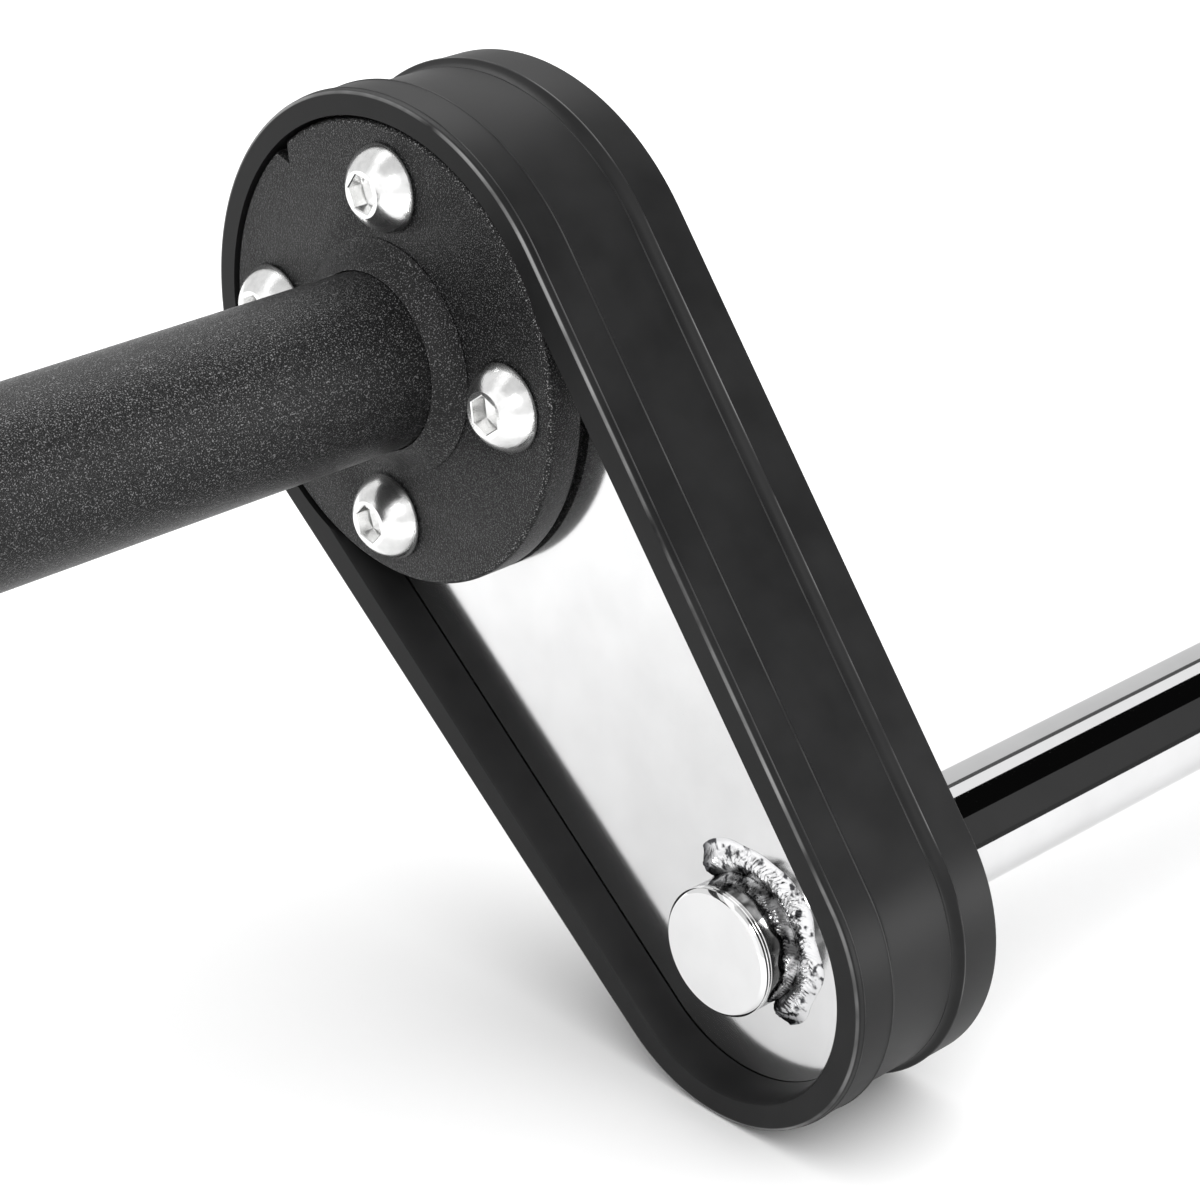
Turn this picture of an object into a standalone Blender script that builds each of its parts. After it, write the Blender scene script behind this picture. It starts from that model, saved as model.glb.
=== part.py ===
"""Pull-up bar carried by two rubber-edged teardrop arms between flanged tubes.

The bar runs along +X. The origin is the centre of the left mounting face, +Z is up and the arms lean
down and forward (towards -Y). The right end is the left end mirrored about the middle of the span.
All sizes are in metres.
"""

import math

import bmesh
import bpy
from mathutils import Matrix, Vector

MM = 0.001

# Whole bar
SPAN = 1100 * MM                  # between the two outer mounting faces
TUBE_RUN = 200 * MM               # outer mounting face to the seat of the inner flange
TOUCH_GAP = 0.3 * MM              # clearance kept between pieces that touch

# Tube and its two flanges
TUBE_DIAMETER = 42.4 * MM
TUBE_WALL = 3.2 * MM
FLANGE_THICKNESS = 10 * MM
FLANGE_CHAMFER = 0.8 * MM         # round its free face
FLANGE_SEAT_CHAMFER = 1.5 * MM    # round the face that gets bolted on
FLANGE_EDGE_MARGIN = 4.2 * MM     # from a screw head to the flange's edge
NOTCH_DEPTH = 4.8 * MM
NOTCH_WIDTH = 6 * MM
NOTCH_TURN = math.radians(3)      # the notch sits just past the arm's axis
FLANGE_WELD_REACH = 5.5 * MM      # along the flange face
FLANGE_WELD_CLIMB = 4 * MM        # along the tube

# Button-head screws
SCREW_COUNT = 4
SCREW_DIAMETER = 12 * MM
SCREW_HEAD_DIAMETER = 21 * MM
SCREW_HEAD_HEIGHT = 6.6 * MM
SCREW_CROWN_DIAMETER = 11 * MM
SCREW_LENGTH = 30 * MM
SOCKET_ACROSS_FLATS = 8 * MM
SOCKET_DEPTH = 4.2 * MM
HEAD_TO_WELD = 3.3 * MM           # from the flange weld to a screw head
FLANGE_HOLE_CLEARANCE = 1 * MM    # on the screw's diameter
TAPPED_HOLE_CLEARANCE = 0.6 * MM  # on the screw's diameter
TAPPED_HOLE_SPARE = 3 * MM        # depth below the screw's tip

# Teardrop arm
ARM_LEAN = math.radians(45)       # below the horizontal, towards -Y
ARM_CENTRES = 156.6 * MM          # tube axis to grip axis
PLATE_THICKNESS = 25 * MM
RIM_OVERLAP = 1.45 * MM           # the band's rim is this much tighter than the flange
RIM_CLEARANCE = 0.8 * MM          # between the flange and the pocket cut for it in the rim
RIM_SMALL_RADIUS = 36.3 * MM      # inner wall of the band round the grip
RIM_PROUD = 0.3 * MM              # the rim stands this far past the flange's face
RIM_DRAFT = 0.9 * MM              # the rim's inner wall leans in this much down to the plate
BACK_RECESS = 10.5 * MM           # from the band's back edge down to the plate
BAND_BIG_WALL = 8 * MM
BAND_SMALL_WALL = 6.9 * MM
BAND_RIDGE = 11.5 * MM
BAND_CORNER = 1.5 * MM
BAND_LIP_EDGE = 0.5 * MM
GROOVE_DEPTH = 1.5 * MM
GROOVE_SLOPE = 2 * MM
PLATE_LIP = 3.3 * MM              # from the rim's radius out to the bottom of the slot for the plate

# Grip
GRIP_DIAMETER = 29.5 * MM
GRIP_WALL = 3 * MM
SPIGOT_STEP = 0.75 * MM           # the spigot's head stands this far proud of the grip all round
SPIGOT_PROTRUSION = 11.3 * MM      # past the plate's outer face
SPIGOT_CHAMFER = 0.8 * MM
SPIGOT_TAIL = 45 * MM             # pressed into the grip tube
SPIGOT_WELD_REACH = 5 * MM
SPIGOT_WELD_CLIMB = 3 * MM
SPIGOT_WELD_START = math.radians(45)
SPIGOT_WELD_END = math.radians(235)
WELD_CROWN = 0.6                  # share of its legs at which a bead's section bulges

# Facets
ROUND_STEPS = 36
SCREW_STEPS = 18
HOLE_STEPS = 18
BIG_END_STEPS = 30
SMALL_END_STEPS = 18
SPIGOT_WELD_STEPS = 16
CUTTER_OVERRUN = 2 * MM

# Sizes and places that follow from the ones above
WELD_INNER_RADIUS = TUBE_DIAMETER / 2 + TOUCH_GAP
BOLT_RADIUS = WELD_INNER_RADIUS + FLANGE_WELD_REACH + HEAD_TO_WELD + SCREW_HEAD_DIAMETER / 2
FLANGE_RADIUS = BOLT_RADIUS + SCREW_HEAD_DIAMETER / 2 + FLANGE_EDGE_MARGIN
RIM_BIG_RADIUS = FLANGE_RADIUS - RIM_OVERLAP
SPIGOT_RADIUS = GRIP_DIAMETER / 2 + SPIGOT_STEP
INNER_FLANGE_FACE = TUBE_RUN - FLANGE_THICKNESS
SCREW_SEAT = INNER_FLANGE_FACE - TOUCH_GAP
BAND_FRONT = INNER_FLANGE_FACE - RIM_PROUD
PLATE_FRONT = TUBE_RUN + TOUCH_GAP
PLATE_BACK = PLATE_FRONT + PLATE_THICKNESS
BAND_BACK = PLATE_BACK + BACK_RECESS
GRIP_START = PLATE_BACK + TOUCH_GAP
SPIGOT_END = PLATE_FRONT - SPIGOT_PROTRUSION
ARM_AXIS = Vector((0, -math.cos(ARM_LEAN), -math.sin(ARM_LEAN)))
ARM_SIDE = Vector((0, math.sin(ARM_LEAN), -math.cos(ARM_LEAN)))
GRIP_CENTRE = ARM_AXIS * ARM_CENTRES
TUBE_CENTRE = Vector((0, 0, 0))

FINISHES = {
    "powder_black": ((0.022, 0.022, 0.023), 0.55, 0.0),
    "chrome": ((0.80, 0.80, 0.81), 0.10, 1.0),
    "zinc": ((0.72, 0.72, 0.71), 0.22, 1.0),
    "weld_metal": ((0.55, 0.54, 0.52), 0.30, 1.0),
    "rubber_black": ((0.030, 0.030, 0.031), 0.62, 0.0),
}


# ---------------------------------------------------------------- helpers

def clear_scene():
    """Remove every object, so the model starts empty."""
    for thing in list(bpy.data.objects):
        bpy.data.objects.remove(thing, do_unlink=True)


def finish_for(node_name, finish):
    """Give a node its own Principled material in one of the named finishes."""
    colour, roughness, metallic = FINISHES[finish]
    material = bpy.data.materials.new(f"{node_name}_{finish}")
    material.use_nodes = True
    shader = material.node_tree.nodes["Principled BSDF"]
    shader.inputs["Base Color"].default_value = (*colour, 1.0)
    shader.inputs["Roughness"].default_value = roughness
    shader.inputs["Metallic"].default_value = metallic
    return material


def add_object(name, bm, finish):
    """Turn a bmesh into an object, with its faces pointing out and its round stretches smooth."""
    bmesh.ops.recalc_face_normals(bm, faces=bm.faces)
    mesh = bpy.data.meshes.new(name)
    bm.to_mesh(mesh)
    bm.free()
    mesh.shade_smooth()
    mesh.set_sharp_from_angle(angle=math.radians(35))
    thing = bpy.data.objects.new(name, mesh)
    bpy.context.scene.collection.objects.link(thing)
    if finish:
        mesh.materials.append(finish_for(name, finish))
    return thing


def mirrored(bm, is_right):
    """Carry a left-end shape over to the right end, mirrored about the middle of the span."""
    if is_right:
        flip = Matrix.Translation((SPAN, 0, 0)) @ Matrix.Scale(-1, 4, Vector((1, 0, 0)))
        bmesh.ops.transform(bm, matrix=flip, verts=bm.verts)
    return bm


def circle_point(station, radius, angle, centre):
    """A point on a circle about an axis along X. The angle runs from +Y towards +Z."""
    return Vector((station, centre.y + radius * math.cos(angle), centre.z + radius * math.sin(angle)))


def hexagon_radius(across_flats, angle):
    """Distance from the middle of a hexagon to its edge at an angle."""
    sixth = math.pi / 3
    return across_flats / 2 / math.cos(angle % sixth - sixth / 2)


def bridge_rings(bm, rings, closed_along=False):
    """Join a list of vertex rings of equal length with quads."""
    pairs = list(zip(rings, rings[1:]))
    if closed_along:
        pairs.append((rings[-1], rings[0]))
    for first, second in pairs:
        for i, vertex in enumerate(first):
            after = (i + 1) % len(first)
            bm.faces.new((vertex, first[after], second[after], second[i]))


def turned_bar(bm, profile, centre, steps=ROUND_STEPS, hexagonal=()):
    """A solid of rings along X with flat ends. Profile rows are (station, radius).

    The rows whose index is in hexagonal are hexagons, and their radius is half the width across flats.
    """
    rings = []
    for row, (station, radius) in enumerate(profile):
        ring = []
        for i in range(steps):
            angle = 2 * math.pi * i / steps
            reach = hexagon_radius(2 * radius, angle) if row in hexagonal else radius
            ring.append(bm.verts.new(circle_point(station, reach, angle, centre)))
        rings.append(ring)
    bridge_rings(bm, rings)
    bm.faces.new(rings[0])
    bm.faces.new(rings[-1])


def turned_ring(bm, profile, centre, steps=ROUND_STEPS):
    """A ring turned about an axis along X. Profile rows are (station, radius) round its section."""
    turns = [2 * math.pi * i / steps for i in range(steps)]
    rings = []
    for station, radius in profile:
        rings.append([bm.verts.new(circle_point(station, radius, angle, centre)) for angle in turns])
    bridge_rings(bm, rings, closed_along=True)


def prism(bm, outline, start, end):
    """A solid between two stations along X, from an outline of (y, z) points."""
    rings = [[bm.verts.new((station, y, z)) for y, z in outline] for station in (start, end)]
    bridge_rings(bm, rings)
    bm.faces.new(rings[0])
    bm.faces.new(rings[1])


def cut(thing, cutter_bm):
    """Subtract a cutter's shape from a thing."""
    cutter = add_object(f"{thing.name}_cutter", cutter_bm, None)
    cutter.hide_render = True
    cutter.display_type = "WIRE"
    boolean = thing.modifiers.new("cut", "BOOLEAN")
    boolean.operation = "DIFFERENCE"
    boolean.solver = "EXACT"
    boolean.object = cutter


def screw_centres():
    """The four screw positions, a quarter turn apart and midway between the arm's axis and its sides."""
    first = math.atan2(ARM_AXIS.z, ARM_AXIS.y) + math.pi / SCREW_COUNT
    turns = [first + 2 * math.pi * i / SCREW_COUNT for i in range(SCREW_COUNT)]
    return [circle_point(0, BOLT_RADIUS, angle, TUBE_CENTRE) for angle in turns]


def teardrop(big_radius, small_radius):
    """Outline of an arm: a big arc, a small arc and the two straight sides that touch both."""
    tangent = math.acos((big_radius - small_radius) / ARM_CENTRES)
    points = []
    for i in range(BIG_END_STEPS + 1):
        angle = tangent + (2 * math.pi - 2 * tangent) * i / BIG_END_STEPS
        points.append((big_radius * math.cos(angle), big_radius * math.sin(angle)))
    for i in range(SMALL_END_STEPS + 1):
        angle = -tangent + 2 * tangent * i / SMALL_END_STEPS
        points.append((ARM_CENTRES + small_radius * math.cos(angle), small_radius * math.sin(angle)))
    spots = [ARM_AXIS * along + ARM_SIDE * across for along, across in points]
    return [(spot.y, spot.z) for spot in spots]


# ---------------------------------------------------------------- tubes and flanges

def flange_cutter(seat, face):
    """Four screw holes and the V notch, as one cutter through a flange."""
    bm = bmesh.new()
    low = min(seat, face) - CUTTER_OVERRUN
    high = max(seat, face) + CUTTER_OVERRUN
    hole_radius = (SCREW_DIAMETER + FLANGE_HOLE_CLEARANCE) / 2
    for centre in screw_centres():
        turned_bar(bm, [(low, hole_radius), (high, hole_radius)], centre, HOLE_STEPS)
    tip = FLANGE_RADIUS - NOTCH_DEPTH
    mouth = FLANGE_RADIUS + CUTTER_OVERRUN
    half_mouth = NOTCH_WIDTH / 2 * (mouth - tip) / NOTCH_DEPTH
    turn = Matrix.Rotation(NOTCH_TURN, 3, "X")
    out = turn @ -ARM_AXIS
    across = turn @ ARM_SIDE
    corners = [out * tip, out * mouth + across * half_mouth, out * mouth - across * half_mouth]
    prism(bm, [(corner.y, corner.z) for corner in corners], low, high)
    return bm


def make_flange(name, face, seat, is_right):
    """A round flange. Its face looks towards the tube, and its seat is the flat that gets bolted on."""
    inward = math.copysign(1, seat - face)
    profile = [
        (face, FLANGE_RADIUS - FLANGE_CHAMFER),
        (face + inward * FLANGE_CHAMFER, FLANGE_RADIUS),
        (seat - inward * FLANGE_SEAT_CHAMFER, FLANGE_RADIUS),
        (seat, FLANGE_RADIUS - FLANGE_SEAT_CHAMFER),
    ]
    bm = bmesh.new()
    turned_bar(bm, profile, TUBE_CENTRE, 2 * ROUND_STEPS)
    flange = add_object(name, mirrored(bm, is_right), "powder_black")
    cut(flange, mirrored(flange_cutter(seat, face), is_right))


def make_flange_weld(name, face, away, is_right):
    """Ring fillet between a flange face and the tube. Away is +1 where the tube leaves along +X."""
    base = face + away * TOUCH_GAP
    top = base + away * FLANGE_WELD_CLIMB
    outer = WELD_INNER_RADIUS + FLANGE_WELD_REACH
    crown = base + away * WELD_CROWN * FLANGE_WELD_CLIMB
    crown_radius = WELD_INNER_RADIUS + WELD_CROWN * FLANGE_WELD_REACH
    section = [(base, WELD_INNER_RADIUS), (top, WELD_INNER_RADIUS), (crown, crown_radius), (base, outer)]
    bm = bmesh.new()
    turned_ring(bm, section, TUBE_CENTRE)
    add_object(name, mirrored(bm, is_right), "powder_black")


def make_tube(name, is_right):
    """The plain tube between two flange faces."""
    start = FLANGE_THICKNESS + TOUCH_GAP
    end = INNER_FLANGE_FACE - TOUCH_GAP
    outer = TUBE_DIAMETER / 2
    inner = outer - TUBE_WALL
    bm = bmesh.new()
    turned_ring(bm, [(start, inner), (start, outer), (end, outer), (end, inner)], TUBE_CENTRE)
    add_object(name, mirrored(bm, is_right), "powder_black")


def make_screw(name, centre, is_right):
    """Button-head screw with a hexagon socket, its head on the inner flange's face."""
    crown = SCREW_SEAT - SCREW_HEAD_HEIGHT
    head = SCREW_HEAD_DIAMETER / 2
    shank = SCREW_DIAMETER / 2
    flat = SCREW_CROWN_DIAMETER / 2
    socket = SOCKET_ACROSS_FLATS / 2
    profile = [
        (SCREW_SEAT + SCREW_LENGTH, shank),
        (SCREW_SEAT, shank),
        (SCREW_SEAT, head),
        (SCREW_SEAT - 0.35 * SCREW_HEAD_HEIGHT, 0.93 * head),
        (SCREW_SEAT - 0.75 * SCREW_HEAD_HEIGHT, 0.74 * head),
        (crown, flat),
        (crown, socket),
        (crown + SOCKET_DEPTH, socket),
    ]
    hexagonal = (len(profile) - 2, len(profile) - 1)
    bm = bmesh.new()
    turned_bar(bm, profile, centre, SCREW_STEPS, hexagonal)
    add_object(name, mirrored(bm, is_right), "zinc")


# ---------------------------------------------------------------- arms

def make_plate(name, is_right):
    """Teardrop plate with four blind tapped holes and the bore for the grip's spigot."""
    edge = PLATE_LIP - TOUCH_GAP
    outline = teardrop(RIM_BIG_RADIUS + edge, RIM_SMALL_RADIUS + edge)
    bm = bmesh.new()
    prism(bm, outline, PLATE_FRONT, PLATE_BACK)
    plate = add_object(name, mirrored(bm, is_right), "chrome")
    cutter = bmesh.new()
    outside = PLATE_FRONT - CUTTER_OVERRUN
    tapped = (SCREW_DIAMETER + TAPPED_HOLE_CLEARANCE) / 2
    bottom = SCREW_SEAT + SCREW_LENGTH + TAPPED_HOLE_SPARE
    for centre in screw_centres():
        turned_bar(cutter, [(outside, tapped), (bottom, tapped)], centre, HOLE_STEPS)
    bore = SPIGOT_RADIUS + TOUCH_GAP
    turned_bar(cutter, [(outside, bore), (PLATE_BACK + CUTTER_OVERRUN, bore)], GRIP_CENTRE)
    cut(plate, mirrored(cutter, is_right))


def band_section():
    """Section of the rubber band, as rows of (station, share of the way out, offset outwards)."""
    front = BAND_FRONT
    back = BAND_BACK
    lip_front = PLATE_FRONT - TOUCH_GAP
    lip_back = PLATE_BACK + TOUCH_GAP
    near = front + BAND_RIDGE
    far = back - BAND_RIDGE
    round_in = BAND_CORNER * (1 - math.sqrt(0.5))
    return [
        (front, 0, BAND_LIP_EDGE),
        (front, 1, -BAND_CORNER),
        (front + round_in, 1, -round_in),
        (front + BAND_CORNER, 1, 0),
        (near, 1, 0),
        (near + GROOVE_SLOPE, 1, -GROOVE_DEPTH),
        (far - GROOVE_SLOPE, 1, -GROOVE_DEPTH),
        (far, 1, 0),
        (back - BAND_CORNER, 1, 0),
        (back - round_in, 1, -round_in),
        (back, 1, -BAND_CORNER),
        (back, 0, BAND_LIP_EDGE),
        (back - BAND_LIP_EDGE, 0, 0),
        (lip_back, 0, -RIM_DRAFT),
        (lip_back, 0, PLATE_LIP),
        (lip_front, 0, PLATE_LIP),
        (lip_front, 0, -RIM_DRAFT),
        (front + BAND_LIP_EDGE, 0, 0),
    ]


def make_band(name, is_right):
    """Rubber band round the plate's edge, proud of both its faces, with a pocket for the flange."""
    bm = bmesh.new()
    rings = []
    for station, share, offset in band_section():
        big = RIM_BIG_RADIUS + share * BAND_BIG_WALL + offset
        small = RIM_SMALL_RADIUS + share * BAND_SMALL_WALL + offset
        rings.append([bm.verts.new((station, y, z)) for y, z in teardrop(big, small)])
    bridge_rings(bm, rings, closed_along=True)
    band = add_object(name, mirrored(bm, is_right), "rubber_black")
    pocket = FLANGE_RADIUS + RIM_CLEARANCE
    cutter = bmesh.new()
    ends = (BAND_FRONT - CUTTER_OVERRUN, PLATE_FRONT - TOUCH_GAP / 2)
    turned_bar(cutter, [(end, pocket) for end in ends], TUBE_CENTRE, 2 * ROUND_STEPS)
    cut(band, mirrored(cutter, is_right))


def make_spigot_weld(name, is_right):
    """Bead between the spigot and the plate's outer face, over part of a turn."""
    inner = SPIGOT_RADIUS + TOUCH_GAP
    base = PLATE_FRONT - TOUCH_GAP
    section = [
        (base, inner),
        (base, inner + SPIGOT_WELD_REACH),
        (base - WELD_CROWN * SPIGOT_WELD_CLIMB, inner + WELD_CROWN * SPIGOT_WELD_REACH),
        (base - SPIGOT_WELD_CLIMB, inner),
    ]
    step = (SPIGOT_WELD_END - SPIGOT_WELD_START) / SPIGOT_WELD_STEPS
    bm = bmesh.new()
    rings = []
    for i in range(SPIGOT_WELD_STEPS + 1):
        angle = SPIGOT_WELD_START + step * i
        places = [circle_point(along, radius, angle, GRIP_CENTRE) for along, radius in section]
        rings.append([bm.verts.new(place) for place in places])
    bridge_rings(bm, rings)
    bm.faces.new(rings[0])
    bm.faces.new(rings[-1])
    add_object(name, mirrored(bm, is_right), "weld_metal")


# ---------------------------------------------------------------- grip

def make_spigot(name, is_right):
    """Turned end of the grip: a chamfered head through the plate, and a tail inside the grip tube."""
    tail = GRIP_DIAMETER / 2 - GRIP_WALL - TOUCH_GAP
    profile = [
        (SPIGOT_END, SPIGOT_RADIUS - SPIGOT_CHAMFER),
        (SPIGOT_END + SPIGOT_CHAMFER, SPIGOT_RADIUS),
        (PLATE_BACK, SPIGOT_RADIUS),
        (PLATE_BACK, tail),
        (GRIP_START + SPIGOT_TAIL, tail),
    ]
    bm = bmesh.new()
    turned_bar(bm, profile, GRIP_CENTRE)
    add_object(name, mirrored(bm, is_right), "chrome")


def make_grip():
    """The chromed grip tube between the two arms."""
    outer = GRIP_DIAMETER / 2
    inner = outer - GRIP_WALL
    end = SPAN - GRIP_START
    bm = bmesh.new()
    turned_ring(bm, [(GRIP_START, inner), (GRIP_START, outer), (end, outer), (end, inner)], GRIP_CENTRE)
    add_object("grip_bar", bm, "chrome")


def make_end(side, is_right):
    """Everything at one end of the bar."""
    make_flange(f"{side}_outer_flange", FLANGE_THICKNESS, 0, is_right)
    make_flange_weld(f"{side}_outer_flange_weld", FLANGE_THICKNESS, 1, is_right)
    make_tube(f"{side}_tube", is_right)
    make_flange_weld(f"{side}_inner_flange_weld", INNER_FLANGE_FACE, -1, is_right)
    make_flange(f"{side}_inner_flange", INNER_FLANGE_FACE, TUBE_RUN, is_right)
    for number, centre in enumerate(screw_centres(), start=1):
        make_screw(f"{side}_flange_screw_{number}", centre, is_right)
    make_plate(f"{side}_arm_plate", is_right)
    make_band(f"{side}_arm_band", is_right)
    make_spigot(f"{side}_grip_spigot", is_right)
    make_spigot_weld(f"{side}_spigot_weld", is_right)


def main():
    """Build the whole bar."""
    clear_scene()
    make_grip()
    make_end("left", False)
    make_end("right", True)


main()
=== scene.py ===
"""Pull-up bar: a chrome grip between two rubber-edged teardrop arms, bolted to flanged black tubes.

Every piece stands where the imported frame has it. The left end is built from its sizes, and the right end
is the same end mirrored about the middle of the span. Sizes are in metres and stations run along +X.
"""

import logging
import math
from dataclasses import dataclass
from enum import Enum
from typing import Any, Callable, ClassVar, Sequence

import bmesh
import bpy
from mathutils import Matrix, Vector, noise


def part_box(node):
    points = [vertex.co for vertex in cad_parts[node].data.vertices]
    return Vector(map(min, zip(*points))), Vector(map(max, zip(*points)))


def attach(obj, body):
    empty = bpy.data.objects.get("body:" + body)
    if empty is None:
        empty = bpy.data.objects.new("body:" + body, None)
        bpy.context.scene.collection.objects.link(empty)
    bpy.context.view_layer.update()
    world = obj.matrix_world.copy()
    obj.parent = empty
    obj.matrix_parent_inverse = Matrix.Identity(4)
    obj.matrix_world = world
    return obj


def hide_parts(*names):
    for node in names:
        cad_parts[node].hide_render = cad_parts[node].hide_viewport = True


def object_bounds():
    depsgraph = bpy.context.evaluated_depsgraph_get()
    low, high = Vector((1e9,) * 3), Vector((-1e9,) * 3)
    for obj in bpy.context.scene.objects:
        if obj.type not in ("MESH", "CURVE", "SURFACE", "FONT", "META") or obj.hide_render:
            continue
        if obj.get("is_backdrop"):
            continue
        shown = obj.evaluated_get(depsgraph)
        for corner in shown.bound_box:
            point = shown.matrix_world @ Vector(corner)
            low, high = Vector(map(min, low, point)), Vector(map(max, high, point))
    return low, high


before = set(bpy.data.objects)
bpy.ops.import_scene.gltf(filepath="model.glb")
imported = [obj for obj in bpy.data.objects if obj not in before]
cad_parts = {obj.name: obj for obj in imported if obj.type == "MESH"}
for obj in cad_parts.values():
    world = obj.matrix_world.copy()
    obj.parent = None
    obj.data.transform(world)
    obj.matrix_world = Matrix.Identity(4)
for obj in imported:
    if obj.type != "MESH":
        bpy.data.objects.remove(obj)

MM = 0.001
ROOT = "root"
# The vertex attribute that marks painted highlights, a painted dark reflection and burnt weld metal.
PAINTED_LIGHT_AND_BURN = "painted_light_and_burn"
OVERRUN = 2 * MM

log = logging.getLogger("pull_up_bar")

Profile = Sequence[tuple[float, float]]
Outline = Sequence[tuple[float, float]]


class End(Enum):
    """The two ends of the bar, named as the frame's nodes are."""

    LEFT = "left"
    RIGHT = "right"


class Slot(Enum):
    """The record's material slots."""

    POWDER = "powder_coat"
    CHROME = "chrome"
    ZINC = "zinc"
    WELD = "weld_metal"
    RUBBER = "rubber"


# ---------------------------------------------------------------- shader maths

@dataclass(frozen=True)
class Signal:
    """A node socket that takes part in shader maths."""

    graph: "Graph"
    socket: bpy.types.NodeSocket

    def _maths(self, operation: str, first: Any, second: Any) -> "Signal":
        """Add one Math node and return its result."""
        return self.graph.add("ShaderNodeMath", {"operation": operation}, {0: first, 1: second})

    def __add__(self, other: Any) -> "Signal":
        """self + other."""
        return self._maths("ADD", self, other)

    def __radd__(self, other: Any) -> "Signal":
        """other + self."""
        return self._maths("ADD", other, self)

    def __sub__(self, other: Any) -> "Signal":
        """self - other."""
        return self._maths("SUBTRACT", self, other)

    def __rsub__(self, other: Any) -> "Signal":
        """other - self."""
        return self._maths("SUBTRACT", other, self)

    def __mul__(self, other: Any) -> "Signal":
        """self * other."""
        return self._maths("MULTIPLY", self, other)

    def __rmul__(self, other: Any) -> "Signal":
        """other * self."""
        return self._maths("MULTIPLY", other, self)

    def between(self, low: float, high: float) -> "Signal":
        """Spread a signal from low to high over 0 to 1, clamped."""
        ends = {"From Min": low, "From Max": high}
        return self.graph.add("ShaderNodeMapRange", {"clamp": True}, {"Value": self, **ends})


class Graph:
    """The node tree of one material."""

    def __init__(self, name: str) -> None:
        """Start a material with only its output."""
        self.material = bpy.data.materials.new(name)
        self.material.use_nodes = True
        self.tree = self.material.node_tree
        self.tree.nodes.clear()
        self.output = self.tree.nodes.new("ShaderNodeOutputMaterial")

    def add(self, kind: str, settings: dict[str, Any] | None = None, inputs: dict[Any, Any] | None = None,
            output: Any = 0) -> Signal:
        """Add a node.

        Args:
            kind: the node's type.
            settings: the node's own properties, set before its sockets.
            inputs: values or signals by socket name or number.
            output: the name or number of the output to return.

        Returns:
            The chosen output as a signal.
        """
        node = self.tree.nodes.new(kind)
        for key, value in (settings or {}).items():
            setattr(node, key, value)
        for key, value in (inputs or {}).items():
            if isinstance(value, Signal):
                self.tree.links.new(value.socket, node.inputs[key])
            else:
                node.inputs[key].default_value = value
        return Signal(self, node.outputs[output])

    def place(self) -> Signal:
        """The point on the piece, in metres."""
        return self.add("ShaderNodeTexCoord", output="Object")

    def painted_light_and_burn(self) -> Signal:
        """The share of painted light and burn that the mesh carries at this point."""
        return self.add("ShaderNodeAttribute", {"attribute_name": PAINTED_LIGHT_AND_BURN}, output="Fac")

    def stretched(self, scale: tuple[float, float, float], turn: tuple[float, float, float]) -> Signal:
        """The point on the piece turned, then scaled, so that a pattern on it becomes stretched."""
        settings = {"vector_type": "POINT"}
        turned = self.add("ShaderNodeMapping", settings, {"Vector": self.place(), "Rotation": turn})
        return self.add("ShaderNodeMapping", settings, {"Vector": turned, "Scale": scale})

    def noise(self, size: float, detail: float) -> Signal:
        """Grey noise whose lumps are about size metres across."""
        inputs = {"Vector": self.place(), "Scale": 1.0 / size, "Detail": detail}
        return self.add("ShaderNodeTexNoise", None, inputs, "Fac")

    def colour(self, factor: Signal, low: Any, high: Any) -> Signal:
        """Blend between two colours, each a triple or a signal."""
        low, high = (value if isinstance(value, Signal) else (*value, 1.0) for value in (low, high))
        return self.add("ShaderNodeMix", {"data_type": "RGBA"}, {"Factor": factor, 6: low, 7: high}, 2)

    def bump(self, height: Signal, depth: float, strength: float) -> Signal:
        """Raise the surface by a height signal, depth metres from 0 to 1."""
        return self.add("ShaderNodeBump", None, {"Height": height, "Distance": depth, "Strength": strength})

    def finish(self, kind: str, inputs: dict[Any, Any]) -> bpy.types.Material:
        """Add the surface shader and return the finished material."""
        shader = self.add(kind, None, inputs)
        self.tree.links.new(shader.socket, self.output.inputs["Surface"])
        return self.material


# ---------------------------------------------------------------- finishes

@dataclass(frozen=True)
class PowderCoat:
    """Fine-textured black powder coat, with painted glints for its sparkle and a painted highlight along
    marked edges.
    """

    dark: tuple[float, float, float] = (0.005, 0.005, 0.0052)
    # The colour of the painted glints, flecks that stand in for the coat's sparkling highlights.
    light: tuple[float, float, float] = (0.12, 0.12, 0.121)
    # The colour of the painted highlight along marked edges.
    painted_highlight: tuple[float, float, float] = (0.34, 0.34, 0.34)
    grain: float = 0.34 * MM
    relief: float = 0.28 * MM
    roughness: float = 0.34
    specular: float = 0.22

    def material(self, name: str) -> bpy.types.Material:
        """Make the material."""
        graph = Graph(name)
        grit = graph.noise(self.grain, 1.0)
        waves = graph.noise(2.2 * MM, 2.0)
        # Sparse flecks of painted glint in the base colour, standing in for sparkle.
        painted_glint = grit.between(0.58, 0.70)
        black = graph.colour(painted_glint, self.dark, self.light)
        inputs = {
            # A painted highlight, on the flecks along marked edges.
            "Base Color": graph.colour(graph.painted_light_and_burn() * painted_glint, black, self.painted_highlight),
            "Roughness": self.roughness - 0.10 * painted_glint + 0.06 * waves,
            "Specular IOR Level": self.specular,
            "Normal": graph.bump(grit + 0.4 * waves, self.relief, 0.9),
        }
        return graph.finish("ShaderNodeBsdfPrincipled", inputs)


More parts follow.
